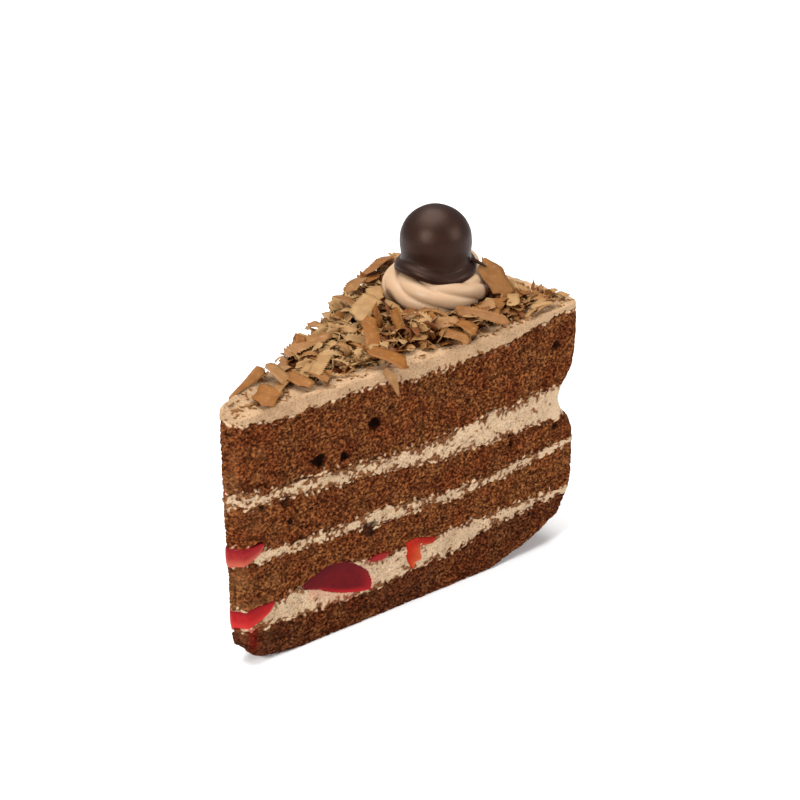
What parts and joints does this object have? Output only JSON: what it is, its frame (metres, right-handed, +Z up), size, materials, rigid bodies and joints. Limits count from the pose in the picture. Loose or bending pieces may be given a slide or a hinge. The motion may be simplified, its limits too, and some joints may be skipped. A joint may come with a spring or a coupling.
{
  "type": "black forest cake slice",
  "caption": "Wedge of layered chocolate sponge and cream with cherries, a heap of chocolate shavings, and a piped rosette under a chocolate-dipped cherry.",
  "frame": {"origin": "centre of the bottom of the slice's bounding box, on the plane it rests on", "axes": "+Z up, +Y from the blunt tip to the rounded rim, +X towards the cut face on the right when seen from the tip"},
  "size_m": [0.0674, 0.1233, 0.1079],
  "materials": {
    "sponge": "matt open crumb, chocolate brown",
    "cream": "soft satin, pale coffee cream",
    "icing": "smooth satin, pale coffee cream",
    "cherry": "wet gloss, dark red with a juicy translucence",
    "shavings": "dull satin, milk chocolate",
    "dark_chocolate": "soft gloss, dark chocolate"
  },
  "bodies": {
    "root": {"sponge_bottom": "sponge", "cream_lower": "cream", "sponge_lower": "sponge", "cream_middle": "cream", "sponge_upper": "sponge", "cream_upper": "cream", "sponge_top": "sponge", "icing": "icing", "cherry_main": "cherry", "cherry_wedge": "cherry", "cherry_left": "cherry", "cherry_sliver": "cherry", "cherry_tip_lower": "cherry", "cherry_tip_middle": "cherry", "cherry_tip_upper": "cherry", "shavings": "shavings", "rosette": "icing", "chocolate_ball": "dark_chocolate"}
  },
  "joints": []
}
